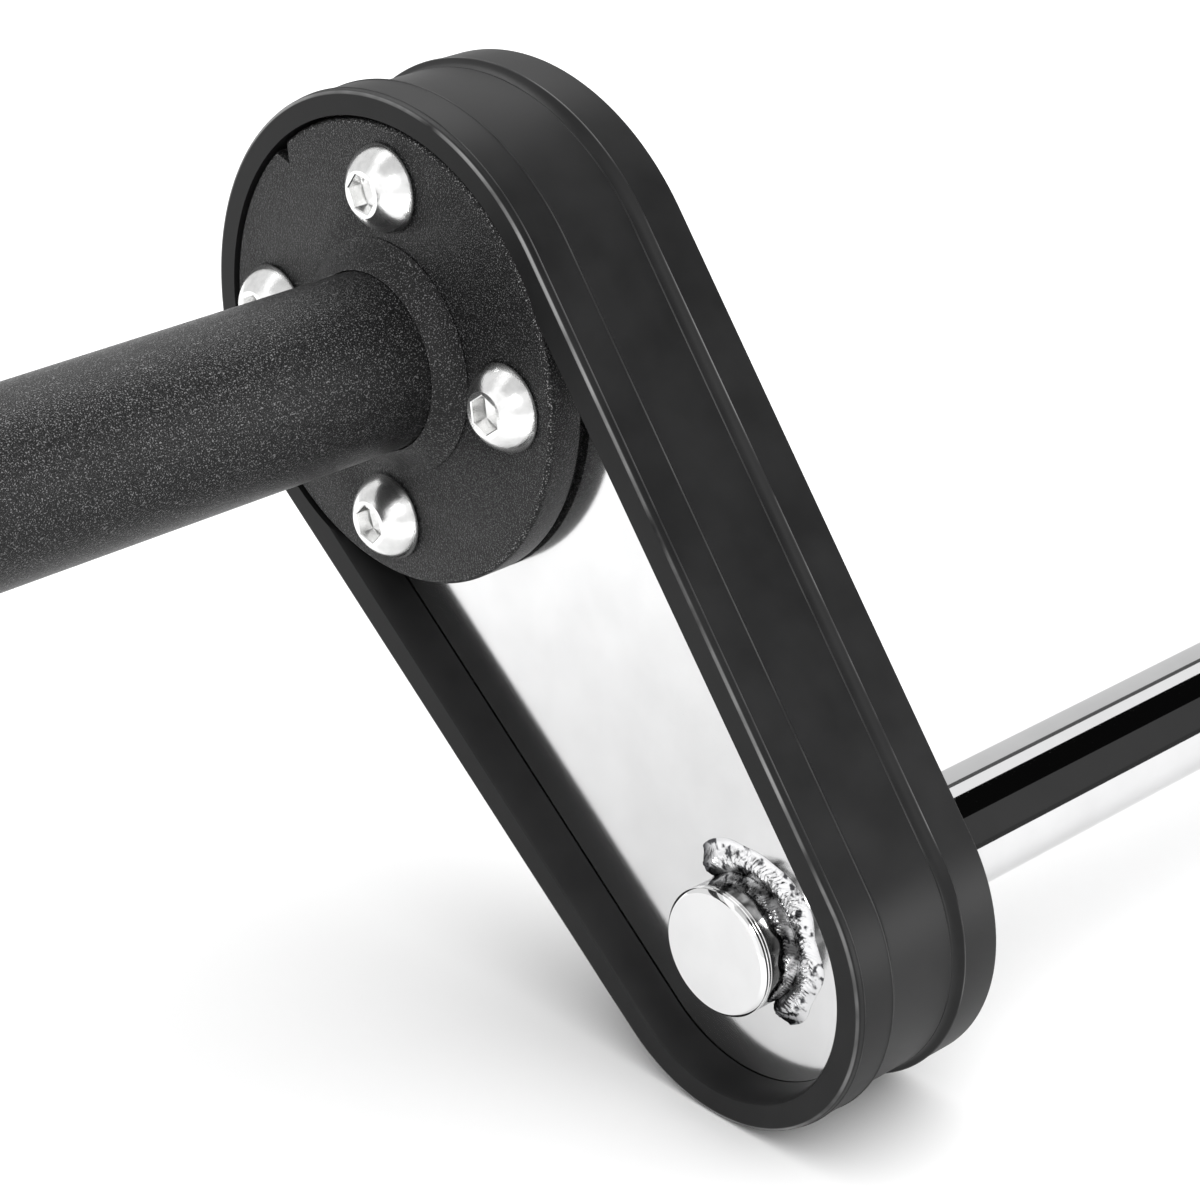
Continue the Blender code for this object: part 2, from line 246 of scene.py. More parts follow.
@dataclass(frozen=True)
class Chrome:
    """Bright chrome plate, with polishing streaks along one direction and, where the mesh marks it, a painted
    dark reflection.
    """

    colour: tuple[float, float, float] = (0.66, 0.66, 0.665)
    roughness: float = 0.05
    satin: float = 0.03
    streak: tuple[float, float, float] = (60.0, 2500.0, 2500.0)
    turn: tuple[float, float, float] = (0.0, 0.0, 0.0)
    relief: float = 0.0
    # The colour of a painted dark reflection, laid where the mesh marks it.
    painted_dark_reflection: tuple[float, float, float] | None = None

    def material(self, name: str) -> bpy.types.Material:
        """Make the material."""
        graph = Graph(name)
        streaks = graph.add("ShaderNodeTexNoise", None, {
            "Vector": graph.stretched(self.streak, self.turn), "Scale": 1.0, "Detail": 3.0}, "Fac")
        clouds = graph.noise(14 * MM, 3.0)
        shade = tuple(0.94 * level for level in self.colour)
        plated = graph.colour(clouds.between(0.35, 0.70), self.colour, shade)
        # A painted dark reflection, broken up by noise, where the mesh marks it.
        if self.painted_dark_reflection:
            painted_reflection_share = graph.painted_light_and_burn() * graph.noise(5 * MM, 2.0).between(0.20, 0.50)
            plated = graph.colour(painted_reflection_share, plated, self.painted_dark_reflection)
        inputs = {
            "Base Color": plated,
            "Metallic": 1.0,
            "Roughness": self.roughness + self.satin * streaks + 0.4 * self.satin * clouds,
        }
        if self.relief:
            inputs["Normal"] = graph.bump(streaks, self.relief, 0.5)
        return graph.finish("ShaderNodeBsdfPrincipled", inputs)


@dataclass(frozen=True)
class Zinc:
    """Bright zinc plate on forged heads, with a fine orange peel."""

    colour: tuple[float, float, float] = (0.92, 0.92, 0.915)
    grain: float = 0.40 * MM
    relief: float = 0.035 * MM
    roughness: float = 0.13

    def material(self, name: str) -> bpy.types.Material:
        """Make the material."""
        graph = Graph(name)
        peel = graph.noise(self.grain, 2.0)
        clouds = graph.noise(3 * MM, 2.0)
        shade = tuple(0.86 * level for level in self.colour)
        inputs = {
            "Base Color": graph.colour(clouds.between(0.4, 0.7), self.colour, shade),
            "Metallic": 1.0,
            "Roughness": self.roughness + 0.10 * clouds,
            "Normal": graph.bump(peel, self.relief, 0.7),
        }
        return graph.finish("ShaderNodeBsdfPrincipled", inputs)


@dataclass(frozen=True)
class Bead:
    """Plated weld metal, burnt dark in blotches and at its stops."""

    colour: tuple[float, float, float] = (0.74, 0.74, 0.75)
    burnt: tuple[float, float, float] = (0.06, 0.06, 0.065)
    roughness: float = 0.10

    def material(self, name: str) -> bpy.types.Material:
        """Make the material."""
        graph = Graph(name)
        pits = graph.noise(0.45 * MM, 3.0)
        blotch = graph.noise(2.5 * MM, 2.0)
        plated = graph.colour(blotch.between(0.54, 0.64), self.colour, self.burnt)
        inputs = {
            "Base Color": graph.colour(graph.painted_light_and_burn(), plated, self.burnt),
            "Metallic": 1.0,
            "Roughness": self.roughness + 0.15 * blotch,
            "Normal": graph.bump(pits, 0.03 * MM, 0.5),
        }
        return graph.finish("ShaderNodeBsdfPrincipled", inputs)


@dataclass(frozen=True)
class Rubber:
    """Matt black moulded rubber, with a painted highlight along marked corners and moulded lines."""

    dark: tuple[float, float, float] = (0.007, 0.007, 0.0072)
    light: tuple[float, float, float] = (0.011, 0.011, 0.0112)
    # The colour of the painted highlight along the band's corner and moulded lines.
    painted_highlight: tuple[float, float, float] = (0.20, 0.20, 0.20)
    roughness: float = 0.44
    specular: float = 0.17

    def material(self, name: str) -> bpy.types.Material:
        """Make the material."""
        graph = Graph(name)
        bloom = graph.noise(18 * MM, 4.0)
        skin = graph.noise(0.5 * MM, 2.0)
        # A painted highlight along marked corners and lines, broken up by noise.
        painted_highlight_share = graph.painted_light_and_burn() * graph.noise(28 * MM, 4.0).between(0.36, 0.60)
        black = graph.colour(bloom.between(0.35, 0.70), self.dark, self.light)
        inputs = {
            "Base Color": graph.colour(painted_highlight_share, black, self.painted_highlight),
            "Roughness": self.roughness + 0.10 * bloom,
            "Specular IOR Level": self.specular,
            "Normal": graph.bump(skin, 0.008 * MM, 0.5),
        }
        return graph.finish("ShaderNodeBsdfPrincipled", inputs)


@dataclass(frozen=True)
class Paper:
    """Pale studio paper."""

    colour: tuple[float, float, float] = (0.80, 0.80, 0.80)

    def material(self, name: str) -> bpy.types.Material:
        """Make the material."""
        graph = Graph(name)
        return graph.finish("ShaderNodeBsdfDiffuse", {"Color": (*self.colour, 1.0)})


@dataclass(frozen=True)
class Glow:
    """An evenly lit studio card."""

    level: float = 1.0

    def material(self, name: str) -> bpy.types.Material:
        """Make the material."""
        graph = Graph(name)
        material = graph.finish("ShaderNodeEmission", {"Color": (1.0, 1.0, 1.0, 1.0), "Strength": self.level})
        material.cycles.emission_sampling = "NONE"
        return material


Finish = PowderCoat | Chrome | Zinc | Bead | Rubber | Paper | Glow


# ---------------------------------------------------------------- places in the frame

@dataclass(frozen=True)
class Extent:
    """The box of one of the frame's nodes."""

    low: Vector
    high: Vector

    @classmethod
    def of(cls, node: str) -> "Extent":
        """Read a node's box."""
        low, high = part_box(node)
        return cls(Vector(low), Vector(high))

    @property
    def centre(self) -> Vector:
        """The middle of the box."""
        return (self.low + self.high) / 2

    @property
    def radius(self) -> float:
        """Half the box's height, the radius of a round piece along X."""
        return (self.high.z - self.low.z) / 2


SPAN = Extent.of("right_outer_flange").high.x
TOUCH_GAP = 0.3 * MM


# ---------------------------------------------------------------- mesh making

class Shape:
    """A mesh in the making for one end of the bar."""

    def __init__(self, end: End = End.LEFT) -> None:
        """Start empty. Points given to a right-hand shape are mirrored about the middle of the span."""
        self.end = end
        self.bm = bmesh.new()
        self.painted_light_and_burn = self.bm.verts.layers.float.new(PAINTED_LIGHT_AND_BURN)

    def ring(self, points: Sequence[Vector], painted_light_and_burn: float = 0.0) -> list[bmesh.types.BMVert]:
        """Add a row of vertices with a share of painted light and burn, which a finish shows as a painted
        highlight, a painted dark reflection or burnt weld metal.
        """
        if self.end is End.RIGHT:
            points = [Vector((SPAN - point.x, point.y, point.z)) for point in points]
        row = [self.bm.verts.new(point) for point in points]
        for vertex in row:
            vertex[self.painted_light_and_burn] = painted_light_and_burn
        return row

    def bridge(self, rings: Sequence[list[bmesh.types.BMVert]], around: bool = True,
               along: bool = False) -> None:
        """Join rows of equal length with quads.

        Args:
            rings: the rows, in order.
            around: whether each row closes on itself.
            along: whether the last row joins the first.
        """
        pairs = list(zip(rings, rings[1:]))
        if along:
            pairs.append((rings[-1], rings[0]))
        for first, second in pairs:
            last = len(first) if around else len(first) - 1
            for i in range(last):
                after = (i + 1) % len(first)
                self.bm.faces.new((first[i], first[after], second[after], second[i]))

    def cap(self, ring: list[bmesh.types.BMVert]) -> None:
        """Close a row with one face."""
        self.bm.faces.new(ring)

    def point_cap(self, ring: list[bmesh.types.BMVert], tip: Vector) -> None:
        """Close a row with a fan to a tip."""
        top = self.ring([tip])[0]
        for i, vertex in enumerate(ring):
            self.bm.faces.new((vertex, ring[(i + 1) % len(ring)], top))

    def turn(self, profile: Profile, centre: Vector, steps: int, hollow: bool = False,
             reach: Callable[[int, float, float], float] | None = None) -> list[list[bmesh.types.BMVert]]:
        """Turn a profile about an axis along X.

        Args:
            profile: rows of (station, radius).
            centre: a point on the axis.
            steps: how many points go round.
            hollow: whether the profile is a closed section, rather than a solid closed by a face at each end.
            reach: changes a row's radius by its row number, radius and angle.

        Returns:
            The rows of vertices.
        """
        rings = []
        for row, (station, radius) in enumerate(profile):
            points = []
            for i in range(steps):
                angle = 2 * math.pi * i / steps
                out = reach(row, radius, angle) if reach else radius
                points.append(on_circle(station, out, angle, centre))
            rings.append(self.ring(points))
        self.bridge(rings, along=hollow)
        if not hollow:
            self.cap(rings[0])
            self.cap(rings[-1])
        return rings

    def prism(self, outline: Outline, start: float, end: float) -> None:
        """A solid between two stations, from an outline of (y, z) points."""
        rings = [self.ring([Vector((station, y, z)) for y, z in outline]) for station in (start, end)]
        self.bridge(rings)
        self.cap(rings[0])
        self.cap(rings[1])

    def object(self, name: str, crease: float = 32.0) -> bpy.types.Object:
        """Turn the mesh into an object.

        Args:
            name: the object's name.
            crease: edges that turn by more than this many degrees stay sharp.

        Returns:
            The object, linked to the scene.
        """
        bmesh.ops.recalc_face_normals(self.bm, faces=self.bm.faces)
        mesh = bpy.data.meshes.new(name)
        self.bm.to_mesh(mesh)
        self.bm.free()
        mesh.shade_smooth()
        mesh.set_sharp_from_angle(angle=math.radians(crease))
        thing = bpy.data.objects.new(name, mesh)
        bpy.context.scene.collection.objects.link(thing)
        return thing


def on_circle(station: float, radius: float, angle: float, centre: Vector) -> Vector:
    """A point on a circle about an axis along X. The angle runs from +Y towards +Z."""
    return Vector((station, centre.y + radius * math.cos(angle), centre.z + radius * math.sin(angle)))


def applied(thing: bpy.types.Object, kind: str, settings: dict[str, Any]) -> None:
    """Add a modifier to an object and apply it.

    Args:
        thing: the object.
        kind: the modifier's type.
        settings: the modifier's properties.
    """
    modifier = thing.modifiers.new(kind.lower(), kind)
    for key, value in settings.items():
        setattr(modifier, key, value)
    shaped = bpy.data.meshes.new_from_object(thing.evaluated_get(bpy.context.evaluated_depsgraph_get()))
    thing.modifiers.clear()
    thing.data = shaped


def cut(thing: bpy.types.Object, cutter: Shape) -> None:
    """Subtract a cutter from an object."""
    tool = cutter.object("cutter")
    applied(thing, "BOOLEAN", {"operation": "DIFFERENCE", "solver": "EXACT", "object": tool})
    bpy.data.objects.remove(tool, do_unlink=True)


@dataclass
class Piece:
    """One finished piece that stands for a node of the frame."""

    thing: bpy.types.Object
    node: str
    slot: Slot

    def dress(self, finish: Finish) -> None:
        """Give the piece its material and tie it to the frame.

        Args:
            finish: what its surface is made of.
        """
        self.thing.data.materials.clear()
        self.thing.data.materials.append(finish.material(f"{self.thing.name}_{self.slot.value}"))
        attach(self.thing, ROOT)
        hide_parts(self.node)
        log.info("%s: %d faces, %s", self.thing.name, len(self.thing.data.polygons), self.slot.value)


# ---------------------------------------------------------------- tubes and flanges

@dataclass
class FlangedTube:
    """A tube with a flange welded to each end."""

    wall: float = 3.2 * MM
    edge: float = 1.4 * MM
    seat_edge: float = 1.3 * MM
    seat_rebate: float = 2.0 * MM
    hole: float = 13 * MM
    notch_depth: float = 4.8 * MM
    notch_width: float = 6 * MM
    notch_turn: float = math.radians(3)
    weld_reach: float = 6.6 * MM
    weld_climb: float = 5 * MM
    ripples: int = 64
    ripple_height: float = 0.06 * MM
    lumps: float = 0.9 * MM
    # Share of painted highlight on the flange's rounded front rim.
    painted_edge_highlight: float = 0.6
    hole_edge: float = 0.3 * MM
    steps: int = 180

    def build(self, end: End) -> list[Piece]:
        """Build one end's tube, flanges and ring welds."""
        self.end = end
        self.tube = Extent.of("left_tube")
        inner = Extent.of("left_inner_flange")
        outer = Extent.of("left_outer_flange")
        return [
            self._tube(),
            self._flange("inner", inner.low.x, inner.high.x),
            self._flange("outer", outer.high.x, outer.low.x),
            self._weld("inner", inner.low.x, -1),
            self._weld("outer", outer.high.x, 1),
        ]

    def _piece(self, shape_object: bpy.types.Object, part: str) -> Piece:
        """Wrap an object as the piece for one of this end's nodes."""
        return Piece(shape_object, f"{self.end.value}_{part}", Slot.POWDER)

    def _name(self, part: str) -> str:
        """The new piece's own name."""
        return f"{self.end.value}_{part}_coated"

    def _tube(self) -> Piece:
        """The plain tube."""
        outside = self.tube.radius
        inside = outside - self.wall
        low, high = self.tube.low.x, self.tube.high.x
        shape = Shape(self.end)
        profile = [(low, inside), (low, outside), (high, outside), (high, inside)]
        shape.turn(profile, Vector(), self.steps, True)
        return self._piece(shape.object(self._name("tube")), "tube")

    def _flange(self, which: str, face: float, seat: float) -> Piece:
        """A flange with a softened rim, four screw holes and the V notch.

        Args:
            which: "inner" or "outer".
            face: station of the side that the tube is welded to.
            seat: station of the side that is bolted down.

        Returns:
            The piece.
        """
        radius = Extent.of("left_inner_flange").high.y
        way = math.copysign(1.0, seat - face)
        profile = []
        for i in range(7):
            turn = math.radians(90 - 15 * i)
            station = face + way * (self.edge - self.edge * math.sin(turn))
            profile.append((station, radius - self.edge * (1 - math.cos(turn))))
        foot = radius - self.seat_rebate
        profile += [(seat - way * self.seat_edge, radius), (seat - way * self.seat_edge, foot), (seat, foot)]
        shape = Shape(self.end)
        rings = shape.turn(profile, Vector(), 2 * self.steps)
        # A painted highlight along the middle of the flange's rounded front rim.
        for vertex in rings[1] + rings[2] + rings[3]:
            vertex[shape.painted_light_and_burn] = self.painted_edge_highlight
        flange = shape.object(self._name(f"{which}_flange"))
        cut(flange, self._flange_cutter(radius, min(face, seat) - OVERRUN, max(face, seat) + OVERRUN))
        applied(flange, "BEVEL", {"width": self.hole_edge, "segments": 2, "limit_method": "ANGLE",
                                  "angle_limit": math.radians(55)})
        flange.data.shade_smooth()
        flange.data.set_sharp_from_angle(angle=math.radians(40))
        return self._piece(flange, f"{which}_flange")

    def _flange_cutter(self, radius: float, low: float, high: float) -> Shape:
        """The four holes and the notch as one cutter."""
        cutter = Shape(self.end)
        for number in range(1, 5):
            centre = Extent.of(f"left_flange_screw_{number}").centre
            cutter.turn([(low, self.hole / 2), (high, self.hole / 2)], centre, 48)
        arm = Extent.of("grip_bar").centre
        away = Matrix.Rotation(self.notch_turn, 3, "X") @ -Vector((0, arm.y, arm.z)).normalized()
        across = Vector((0, -away.z, away.y))
        tip = radius - self.notch_depth
        mouth = radius + OVERRUN
        half = self.notch_width / 2 * (mouth - tip) / self.notch_depth
        corners = [away * tip, away * mouth + across * half, away * mouth - across * half]
        cutter.prism([(corner.y, corner.z) for corner in corners], low, high)
        return cutter

    def _weld(self, which: str, face: float, away: int) -> Piece:
        """A ring fillet with faint ripples under the coat.

        Args:
            which: "inner" or "outer".
            face: station of the flange face it sits on.
            away: +1 where the tube leaves the face along +X, else -1.

        Returns:
            The piece.
        """
        inner = self.tube.radius + TOUCH_GAP
        base = face + away * TOUCH_GAP
        rows = 10
        section = [(base, inner)]
        for i in range(rows + 1):
            share = i / rows
            climb = self.weld_climb * (1 - share) ** 1.5
            out = self.weld_reach * share
            swell = 0.03 * math.sin(math.pi * share)
            station = base + away * (climb + swell * self.weld_climb)
            section.append((station, inner + out + swell * self.weld_reach))

        def rippled(row: int, radius: float, angle: float) -> float:
            """Swell the crown of the bead by its ripples and a little unevenness."""
            share = (radius - inner) / self.weld_reach
            crown = max(0.0, math.sin(math.pi * min(1.0, share)))
            wave = abs(math.sin(self.ripples * angle / 2 + 1.6 * share))
            uneven = noise.noise(Vector((2 * math.cos(angle), 2 * math.sin(angle), 3.0 + share)))
            return radius + crown * (self.ripple_height * wave + self.lumps * uneven)

        shape = Shape(self.end)
        shape.turn(section, Vector(), 4 * self.steps, True, rippled)
        return self._piece(shape.object(self._name(f"{which}_flange_weld"), 70), f"{which}_flange_weld")

    @staticmethod
    def dress(pieces: Sequence[Piece]) -> None:
        """Coat every piece."""
        for piece in pieces:
            piece.dress(PowderCoat())


# ---------------------------------------------------------------- screws

@dataclass
class FlangeScrews:
    """The four button-head screws of one end."""

    shank: float = 12 * MM
    crown: float = 11 * MM
    socket: float = 8 * MM
    socket_depth: float = 4.2 * MM
    socket_edge: float = 0.25 * MM
    under_head: float = 0.35 * MM
    tip_edge: float = 0.8 * MM
    head_edge: float = 0.15 * MM
    drill_point: float = 1.4 * MM
    turns: ClassVar[tuple[float, ...]] = (12.0, 33.0, 5.0, 22.0)
    steps: int = 96

    def build(self, end: End) -> list[Piece]:
        """Build one end's screws."""
        return [self._screw(end, number) for number in range(1, 5)]

    def _screw(self, end: End, number: int) -> Piece:
        """One screw with a domed head and a hexagon socket."""
        box = Extent.of(f"left_flange_screw_{number}")
        head = (box.high.y - box.low.y) / 2
        seat = Extent.of("left_inner_flange").low.x - TOUCH_GAP
        top = box.low.x
        shank, tip = self.shank / 2, box.high.x
        profile = [(tip, shank - self.tip_edge), (tip - self.tip_edge, shank), (seat, shank)]
        profile += [(seat, head - self.head_edge), (seat - self.head_edge, head)]
        profile += self._dome(seat - self.under_head, head, top)
        rim = len(profile)
        half = self.socket / 2
        profile += [(top, half + self.socket_edge), (top + self.socket_edge, half)]
        profile.append((top + self.socket_depth, half))
        hexagonal = range(rim, len(profile))
        twist = math.radians(self.turns[number - 1])

        def reach(row: int, radius: float, angle: float) -> float:
            """Make the socket's rows hexagonal."""
            return hexagon(radius, angle - twist) if row in hexagonal else radius

        shape = Shape(end)
        rings = []
        for row, (station, radius) in enumerate(profile):
            angles = [2 * math.pi * i / self.steps + twist for i in range(self.steps)]
            rings.append(shape.ring([on_circle(station, reach(row, radius, angle), angle, box.centre)
                                     for angle in angles]))
        shape.bridge(rings)
        shape.cap(rings[0])
        floor = top + self.socket_depth + self.drill_point
        shape.point_cap(rings[-1], Vector((floor, box.centre.y, box.centre.z)))
        node = f"{end.value}_flange_screw_{number}"
        return Piece(shape.object(f"{node}_plated", 28), node, Slot.ZINC)

    def _dome(self, base: float, head: float, top: float) -> list[tuple[float, float]]:
        """The head's dome from its edge at station base to the flat crown at station top."""
        crown = self.crown / 2
        rise = base - top
        middle = (crown ** 2 + rise ** 2 - head ** 2) / (2 * rise)
        radius = math.hypot(head, middle)
        first = math.atan2(-middle, head)
        last = math.atan2(rise - middle, crown)
        steps = 20
        turns = [first + (last - first) * i / steps for i in range(steps + 1)]
        return [(base - middle - radius * math.sin(turn), radius * math.cos(turn)) for turn in turns]

    @staticmethod
    def dress(pieces: Sequence[Piece]) -> None:
        """Plate every screw."""
        for piece in pieces:
            piece.dress(Zinc())


def hexagon(half_flats: float, angle: float) -> float:
    """Distance from the middle of a hexagon to its edge at an angle."""
    sixth = math.pi / 3
    return half_flats / math.cos(angle % sixth - sixth / 2)


# ---------------------------------------------------------------- arms

@dataclass
class TeardropArm:
    """A teardrop plate with the rubber band round its edge."""

    rim_overlap: float = 1.45 * MM
    rim_gap: float = 0.8 * MM
    rim_small: float = 36.3 * MM
    draft: float = 0.9 * MM
    big_wall: float = 8 * MM
    small_wall: float = 6.9 * MM
    ridge: float = 11.5 * MM
    corner: float = 1.0 * MM
    inner_edge: float = 0.5 * MM
    moulded_line: float = 0.22 * MM
    line_width: float = 0.25 * MM
    lip: float = 3.3 * MM
    groove: float = 1.5 * MM
    slope: float = 2 * MM
    tapped_hole: float = 12.6 * MM
    big_steps: int = 120
    small_steps: int = 72
    side_steps: int = 24

    def build(self, end: End) -> list[Piece]:
        """Build one end's plate and band."""
        self.end = end
        grip = Extent.of("grip_bar").centre
        self.centres = math.hypot(grip.y, grip.z)
        self.along = Vector((0, grip.y, grip.z)) / self.centres
        self.across = Vector((0, -self.along.z, self.along.y))
        self.flange_radius = Extent.of("left_inner_flange").high.y
        self.rim_big = self.flange_radius - self.rim_overlap
        self.plate_box = Extent.of("left_arm_plate")
        self.band_box = Extent.of("left_arm_band")
        return [self._plate(), self._band()]

    def outline(self, big: float, small: float) -> list[tuple[float, float]]:
        """The arm's outline: two arcs and the two sides that touch both.

        Args:
            big: radius about the tube's axis.
            small: radius about the grip's axis.

        Returns:
            Points as (y, z).
        """
        tangent = math.acos((big - small) / self.centres)
        spots = []
        for i in range(self.big_steps):
            angle = tangent + 2 * (math.pi - tangent) * i / self.big_steps
            spots.append((big * math.cos(angle), big * math.sin(angle)))
        spots += self._side(big, small, 2 * math.pi - tangent)
        for i in range(self.small_steps):
            angle = -tangent + 2 * tangent * i / self.small_steps
            spots.append((self.centres + small * math.cos(angle), small * math.sin(angle)))
        spots += reversed(self._side(big, small, tangent, first=1))
        points = [self.along * along + self.across * across for along, across in spots]
        return [(point.y, point.z) for point in points]

    def _side(self, big: float, small: float, angle: float, first: int = 0) -> list[tuple[float, float]]:
        """Points on the straight side that touches both arcs at an angle, from the big arc on."""
        start = (big * math.cos(angle), big * math.sin(angle))
        stop = (self.centres + small * math.cos(angle), small * math.sin(angle))
        shares = [i / self.side_steps for i in range(first, self.side_steps + first)]
        return [tuple(a + (b - a) * share for a, b in zip(start, stop)) for share in shares]

    def _plate(self) -> Piece:
        """The plate with four blind tapped holes and the spigot's bore."""
        edge = self.lip - TOUCH_GAP
        front, back = self.plate_box.low.x, self.plate_box.high.x
        shape = Shape(self.end)
        shape.prism(self.outline(self.rim_big + edge, self.rim_small + edge), front, back)
        plate = shape.object(f"{self.end.value}_arm_plate_chromed")
        cutter = Shape(self.end)
        screw_tip = Extent.of("left_flange_screw_1").high.x
        for number in range(1, 5):
            centre = Extent.of(f"left_flange_screw_{number}").centre
            hole = self.tapped_hole / 2
            cutter.turn([(front - OVERRUN, hole), (min(screw_tip, back - MM), hole)], centre, 48)
        bore = Extent.of("left_grip_spigot").radius + TOUCH_GAP
        cutter.turn([(front - OVERRUN, bore), (back + OVERRUN, bore)], Extent.of("grip_bar").centre, 96)
        cut(plate, cutter)
        plate.data.shade_smooth()
        plate.data.set_sharp_from_angle(angle=math.radians(35))
        return Piece(plate, f"{self.end.value}_arm_plate", Slot.CHROME)

    def _band_section(self) -> list[tuple[float, float, float, float]]:
        """Rows of (station, share of the way out, offset outwards, painted highlight) round the band's
        section.
        """
        front, back = self.band_box.low.x, self.band_box.high.x
        lip_front, lip_back = self.plate_box.low.x - TOUCH_GAP, self.plate_box.high.x + TOUCH_GAP
        near, far = front + self.ridge, back - self.ridge
        inner_edge = self.inner_edge
        bead = self.moulded_line
        corner = []
        for i in range(7):
            turn = math.radians(15 * i)
            corner.append((self.corner * (1 - math.cos(turn)), -self.corner * (1 - math.sin(turn))))
        rows = [(front, 0.0, inner_edge, 0.0), (front, 1.0, -self.corner - bead, 0.0)]
        # The middle rows of the front outer corner carry a painted highlight.
        for i, (inward, offset) in enumerate(corner):
            rows.append((front + inward, 1.0, offset, 1.0 if 0 < i < 4 else 0.0))
        # Each moulded line carries a painted highlight along its crest, by the share given.
        rows += self._line(front + self.corner + 1.1 * MM, 0.0, bead, 0.35)
        rows += self._line(near - 0.35 * MM, 0.0, bead, 0.30)
        rows.append((near, 1.0, -0.12 * MM, 0.0))
        for run, drop in ((0.25, 0.45), (0.6, 0.85), (1.0, 1.0)):
            rows.append((near + run * self.slope, 1.0, -drop * self.groove, 0.0))
        rows += self._line(far - self.slope - 0.6 * MM, -self.groove, -bead, 0.25)
        for run, drop in ((1.0, 1.0), (0.35, 0.6)):
            rows.append((far - run * self.slope, 1.0, -drop * self.groove, 0.0))
        rows.append((far - 0.15 * MM, 1.0, -0.15 * MM, 0.0))
        rows += self._line(far + 0.3 * MM, 0.0, bead, 0.8)
        rows += [(back - inward, 1.0, offset, 0.0) for inward, offset in reversed(corner)]
        inside = [(back, inner_edge), (back - inner_edge, 0.0), (lip_back, -self.draft)]
        inside += [(lip_back, self.lip), (lip_front, self.lip), (lip_front, -self.draft)]
        inside.append((front + inner_edge, 0.0))
        rows += [(station, 0.0, offset, 0.0) for station, offset in inside]
        return rows

    def _line(self, station: float, level: float, height: float,
              painted_light_and_burn: float) -> list[tuple[float, float, float, float]]:
        """A fine moulded line that runs round the outside of the band, with a painted highlight along its
        crest.
        """
        width = self.line_width
        return [(station - width, 1.0, level, 0.0), (station, 1.0, level + height, painted_light_and_burn),
                (station + width, 1.0, level, 0.0)]

    def _band(self) -> Piece:
        """The rubber band, with the pocket that the flange sits in."""
        shape = Shape(self.end)
        rings = []
        for station, share, offset, painted_light_and_burn in self._band_section():
            big = self.rim_big + share * self.big_wall + offset
            small = self.rim_small + share * self.small_wall + offset
            rings.append(shape.ring([Vector((station, y, z)) for y, z in self.outline(big, small)], painted_light_and_burn))
        shape.bridge(rings, along=True)
        band = shape.object(f"{self.end.value}_arm_band_moulded", 40)
        pocket = self.flange_radius + self.rim_gap
        cutter = Shape(self.end)
        ends = (self.band_box.low.x - OVERRUN, self.plate_box.low.x - TOUCH_GAP / 2)
        cutter.turn([(station, pocket) for station in ends], Vector(), 360)
        cut(band, cutter)
        band.data.shade_smooth()
        band.data.set_sharp_from_angle(angle=math.radians(40))
        return Piece(band, f"{self.end.value}_arm_band", Slot.RUBBER)

    @staticmethod
    def dress(pieces: Sequence[Piece]) -> None:
        """Chrome the plate and mould the band."""
        lean = math.radians(45)
        satin = Chrome(colour=(0.78, 0.78, 0.783), roughness=0.08, satin=0.06, streak=(2500.0, 110.0, 2500.0),
                       turn=(-lean, 0.0, 0.0), relief=0.004 * MM)
        finishes = {Slot.CHROME: satin, Slot.RUBBER: Rubber()}
        for piece in pieces:
            piece.dress(finishes[piece.slot])


# ---------------------------------------------------------------- grip

